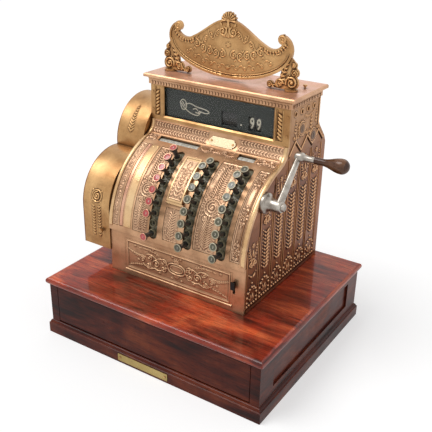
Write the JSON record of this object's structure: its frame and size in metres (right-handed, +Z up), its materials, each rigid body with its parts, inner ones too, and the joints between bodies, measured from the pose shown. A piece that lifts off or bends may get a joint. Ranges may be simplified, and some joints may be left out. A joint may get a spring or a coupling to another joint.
{
  "type": "ticket register",
  "caption": "Antique brass ticket register with curved key banks, number window, scrolled sign, printer housing, side crank and a wooden cash drawer.",
  "frame": {"origin": "centre of the underside of the wooden base, where it rests on the counter", "axes": "+Y towards the back, away from the clerk at the keys; +Z up; +X to the clerk's right, the crank's side"},
  "size_m": [0.5443, 0.443, 0.659],
  "materials": {
    "mahogany": "high gloss varnish",
    "drawer_wood": "bare oiled wood",
    "rose_brass": "satin, aged",
    "golden_brass": "satin, aged",
    "brown_brass": "satin, aged",
    "plate_brass": "polished",
    "nickel": "satin nickel plate",
    "dark_steel": "oiled",
    "black_iron": "black enamel",
    "display_board": "matt dark slate",
    "wheel_paint": "matt black with pale numbers",
    "counter_white": "white enamel",
    "glass": "clear",
    "key_red": "gloss, pale ring",
    "key_green": "gloss, pale ring",
    "paper": "uncoated",
    "grip_wood": "dark polished"
  },
  "bodies": {
    "cabinet": {"base_top": "mahogany", "plinth": "mahogany", "case_boards": "mahogany", "lower_frame": "rose_brass", "keyboard_casting": "rose_brass", "key_frames": "dark_steel", "side_panel_left": "brown_brass", "side_panel_right": "brown_brass", "rear_panel": "brown_brass", "window_frame": "golden_brass", "window_glass": "glass", "display_frame": "display_board", "cornice": "golden_brass", "sign": "golden_brass", "brass_plates": "plate_brass", "printer_housing": "golden_brass", "crank_bearing": "dark_steel", "screws": "plate_brass"},
    "drawer": {"drawer_front": "mahogany", "drawer_box": "drawer_wood", "till_tray": "drawer_wood"},
    "front_door": {"front_door": "rose_brass"},
    "release_lever": {"release_lever": "black_iron"},
    "counter_lid": {"counter_lid": "rose_brass"},
    "counter_drum": {"counter_drum": "counter_white"},
    "dollar_wheel": {"dollar_wheel": "wheel_paint"},
    "dime_wheel": {"dime_wheel": "wheel_paint"},
    "cent_wheel": {"cent_wheel": "wheel_paint"},
    "lock_plug_front": {"lock_plug_front": "nickel"},
    "lock_plug_rear": {"lock_plug_rear": "nickel"},
    "printer_door": {"printer_door": "golden_brass"},
    "paper_roll": {"paper_roll": "paper"},
    "crank_arm": {"crank_arm": "nickel"},
    "crank_grip": {"crank_grip": "grip_wood"},
    "key_dollar_1": {"key_dollar_1": "key_red"},
    "key_dollar_3": {"key_dollar_3": "key_red"},
    "key_dollar_4": {"key_dollar_4": "key_red"},
    "key_dollar_5": {"key_dollar_5": "key_red"},
    "key_dollar_6": {"key_dollar_6": "key_red"},
    "key_dollar_7": {"key_dollar_7": "key_red"},
    "key_dollar_8": {"key_dollar_8": "key_red"},
    "key_dollar_9": {"key_dollar_9": "key_red"},
    "key_dime_1": {"key_dime_1": "key_green"},
    "key_dime_2": {"key_dime_2": "key_green"},
    "key_dime_3": {"key_dime_3": "key_green"},
    "key_dime_4": {"key_dime_4": "key_green"},
    "key_dime_5": {"key_dime_5": "key_green"},
    "key_dime_6": {"key_dime_6": "key_green"},
    "key_dime_7": {"key_dime_7": "key_green"},
    "key_dime_8": {"key_dime_8": "key_green"},
    "key_dime_9": {"key_dime_9": "key_green"},
    "key_cent_1": {"key_cent_1": "key_green"},
    "key_cent_2": {"key_cent_2": "key_green"},
    "key_cent_3": {"key_cent_3": "key_green"},
    "key_cent_4": {"key_cent_4": "key_green"},
    "key_cent_5": {"key_cent_5": "key_green"},
    "key_cent_6": {"key_cent_6": "key_green"},
    "key_cent_7": {"key_cent_7": "key_green"},
    "key_cent_8": {"key_cent_8": "key_green"},
    "key_cent_9": {"key_cent_9": "key_green"}
  },
  "joints": [
    {"name": "drawer_slide", "type": "slide", "parent": "cabinet", "child": "drawer", "axis": [0, -1, 0], "range_m": [0, 0.28]},
    {"name": "front_door_hinge", "type": "hinge", "parent": "cabinet", "child": "front_door", "pos_m": [0, -0.1094, 0.1449], "axis": [1, 0, 0], "range_deg": [0, 90]},
    {"name": "release_lever_pivot", "type": "hinge", "parent": "cabinet", "child": "release_lever", "pos_m": [0.1315, -0.06, 0.195], "axis": [1, 0, 0], "range_deg": [0, 12], "stiffness_Nm_per_rad": 0.06, "springref_deg": -22.92},
    {"name": "counter_lid_hinge", "type": "hinge", "parent": "cabinet", "child": "counter_lid", "pos_m": [-0.01775, -0.09518, 0.31621], "axis": [1, 0, 0], "range_deg": [0, 75]},
    {"name": "counter_drum_spin", "type": "hinge", "parent": "cabinet", "child": "counter_drum", "pos_m": [0, 0.01721, 0.38421], "axis": [1, 0, 0], "continuous": true},
    {"name": "dollar_wheel_spin", "type": "hinge", "parent": "cabinet", "child": "dollar_wheel", "pos_m": [0.015, 0.0898, 0.45847], "axis": [1, 0, 0], "continuous": true},
    {"name": "dime_wheel_spin", "type": "hinge", "parent": "cabinet", "child": "dime_wheel", "pos_m": [0.0666, 0.0898, 0.45847], "axis": [1, 0, 0], "continuous": true},
    {"name": "cent_wheel_spin", "type": "hinge", "parent": "cabinet", "child": "cent_wheel", "pos_m": [0.0816, 0.0898, 0.45847], "axis": [1, 0, 0], "continuous": true},
    {"name": "lock_front_turn", "type": "hinge", "parent": "cabinet", "child": "lock_plug_front", "pos_m": [0.152, 0.086, 0.45497], "axis": [1, 0, 0], "range_deg": [0, 90]},
    {"name": "lock_rear_turn", "type": "hinge", "parent": "cabinet", "child": "lock_plug_rear", "pos_m": [0.152, 0.137, 0.42897], "axis": [1, 0, 0], "range_deg": [0, 90]},
    {"name": "printer_door_hinge", "type": "hinge", "parent": "cabinet", "child": "printer_door", "pos_m": [-0.242, 0.1905, 0.27], "axis": [0, 0, 1], "range_deg": [-100, 0]},
    {"name": "paper_roll_spin", "type": "hinge", "parent": "cabinet", "child": "paper_roll", "pos_m": [-0.206, 0.095, 0.372], "axis": [1, 0, 0], "continuous": true},
    {"name": "crank_turn", "type": "hinge", "parent": "cabinet", "child": "crank_arm", "pos_m": [0.165, -0.04799, 0.34606], "axis": [1, 0, 0], "continuous": true},
    {"name": "crank_grip_spin", "type": "hinge", "parent": "crank_arm", "child": "crank_grip", "pos_m": [0.25, 0.02147, 0.42212], "axis": [1, 0, 0], "continuous": true},
    {"name": "key_dollar_1_slide", "type": "slide", "parent": "cabinet", "child": "key_dollar_1", "axis": [0, 0.9945, -0.1045], "range_m": [0, 0.013], "stiffness_N_per_m": 60, "springref_m": -0.01},
    {"name": "key_dollar_3_slide", "type": "slide", "parent": "cabinet", "child": "key_dollar_3", "axis": [0, 0.9421, -0.3355], "range_m": [0, 0.013], "stiffness_N_per_m": 60, "springref_m": -0.01},
    {"name": "key_dollar_4_slide", "type": "slide", "parent": "cabinet", "child": "key_dollar_4", "axis": [0, 0.8957, -0.4446], "range_m": [0, 0.013], "stiffness_N_per_m": 60, "springref_m": -0.01},
    {"name": "key_dollar_5_slide", "type": "slide", "parent": "cabinet", "child": "key_dollar_5", "axis": [0, 0.8368, -0.5476], "range_m": [0, 0.013], "stiffness_N_per_m": 60, "springref_m": -0.01},
    {"name": "key_dollar_6_slide", "type": "slide", "parent": "cabinet", "child": "key_dollar_6", "axis": [0, 0.766, -0.6428], "range_m": [0, 0.013], "stiffness_N_per_m": 60, "springref_m": -0.01},
    {"name": "key_dollar_7_slide", "type": "slide", "parent": "cabinet", "child": "key_dollar_7", "axis": [0, 0.6845, -0.729], "range_m": [0, 0.013], "stiffness_N_per_m": 60, "springref_m": -0.01},
    {"name": "key_dollar_8_slide", "type": "slide", "parent": "cabinet", "child": "key_dollar_8", "axis": [0, 0.5934, -0.8049], "range_m": [0, 0.013], "stiffness_N_per_m": 60, "springref_m": -0.01},
    {"name": "key_dollar_9_slide", "type": "slide", "parent": "cabinet", "child": "key_dollar_9", "axis": [0, 0.4939, -0.8695], "range_m": [0, 0.013], "stiffness_N_per_m": 60, "springref_m": -0.01},
    {"name": "key_dime_1_slide", "type": "slide", "parent": "cabinet", "child": "key_dime_1", "axis": [0, 0.9945, -0.1045], "range_m": [0, 0.013], "stiffness_N_per_m": 60, "springref_m": -0.01},
    {"name": "key_dime_2_slide", "type": "slide", "parent": "cabinet", "child": "key_dime_2", "axis": [0, 0.9751, -0.2215], "range_m": [0, 0.013], "stiffness_N_per_m": 60, "springref_m": -0.01},
    {"name": "key_dime_3_slide", "type": "slide", "parent": "cabinet", "child": "key_dime_3", "axis": [0, 0.9421, -0.3355], "range_m": [0, 0.013], "stiffness_N_per_m": 60, "springref_m": -0.01},
    {"name": "key_dime_4_slide", "type": "slide", "parent": "cabinet", "child": "key_dime_4", "axis": [0, 0.8957, -0.4446], "range_m": [0, 0.013], "stiffness_N_per_m": 60, "springref_m": -0.01},
    {"name": "key_dime_5_slide", "type": "slide", "parent": "cabinet", "child": "key_dime_5", "axis": [0, 0.8368, -0.5476], "range_m": [0, 0.013], "stiffness_N_per_m": 60, "springref_m": -0.01},
    {"name": "key_dime_6_slide", "type": "slide", "parent": "cabinet", "child": "key_dime_6", "axis": [0, 0.766, -0.6428], "range_m": [0, 0.013], "stiffness_N_per_m": 60, "springref_m": -0.01},
    {"name": "key_dime_7_slide", "type": "slide", "parent": "cabinet", "child": "key_dime_7", "axis": [0, 0.6845, -0.729], "range_m": [0, 0.013], "stiffness_N_per_m": 60, "springref_m": -0.01},
    {"name": "key_dime_8_slide", "type": "slide", "parent": "cabinet", "child": "key_dime_8", "axis": [0, 0.5934, -0.8049], "range_m": [0, 0.013], "stiffness_N_per_m": 60, "springref_m": -0.01},
    {"name": "key_dime_9_slide", "type": "slide", "parent": "cabinet", "child": "key_dime_9", "axis": [0, 0.4939, -0.8695], "range_m": [-0.013, 0]},
    {"name": "key_cent_1_slide", "type": "slide", "parent": "cabinet", "child": "key_cent_1", "axis": [0, 0.9945, -0.1045], "range_m": [0, 0.013], "stiffness_N_per_m": 60, "springref_m": -0.01},
    {"name": "key_cent_2_slide", "type": "slide", "parent": "cabinet", "child": "key_cent_2", "axis": [0, 0.9751, -0.2215], "range_m": [0, 0.013], "stiffness_N_per_m": 60, "springref_m": -0.01},
    {"name": "key_cent_3_slide", "type": "slide", "parent": "cabinet", "child": "key_cent_3", "axis": [0, 0.9421, -0.3355], "range_m": [0, 0.013], "stiffness_N_per_m": 60, "springref_m": -0.01},
    {"name": "key_cent_4_slide", "type": "slide", "parent": "cabinet", "child": "key_cent_4", "axis": [0, 0.8957, -0.4446], "range_m": [0, 0.013], "stiffness_N_per_m": 60, "springref_m": -0.01},
    {"name": "key_cent_5_slide", "type": "slide", "parent": "cabinet", "child": "key_cent_5", "axis": [0, 0.8368, -0.5476], "range_m": [0, 0.013], "stiffness_N_per_m": 60, "springref_m": -0.01},
    {"name": "key_cent_6_slide", "type": "slide", "parent": "cabinet", "child": "key_cent_6", "axis": [0, 0.766, -0.6428], "range_m": [0, 0.013], "stiffness_N_per_m": 60, "springref_m": -0.01},
    {"name": "key_cent_7_slide", "type": "slide", "parent": "cabinet", "child": "key_cent_7", "axis": [0, 0.6845, -0.729], "range_m": [0, 0.013], "stiffness_N_per_m": 60, "springref_m": -0.01},
    {"name": "key_cent_8_slide", "type": "slide", "parent": "cabinet", "child": "key_cent_8", "axis": [0, 0.5934, -0.8049], "range_m": [0, 0.013], "stiffness_N_per_m": 60, "springref_m": -0.01},
    {"name": "key_cent_9_slide", "type": "slide", "parent": "cabinet", "child": "key_cent_9", "axis": [0, 0.4939, -0.8695], "range_m": [-0.013, 0]}
  ]
}
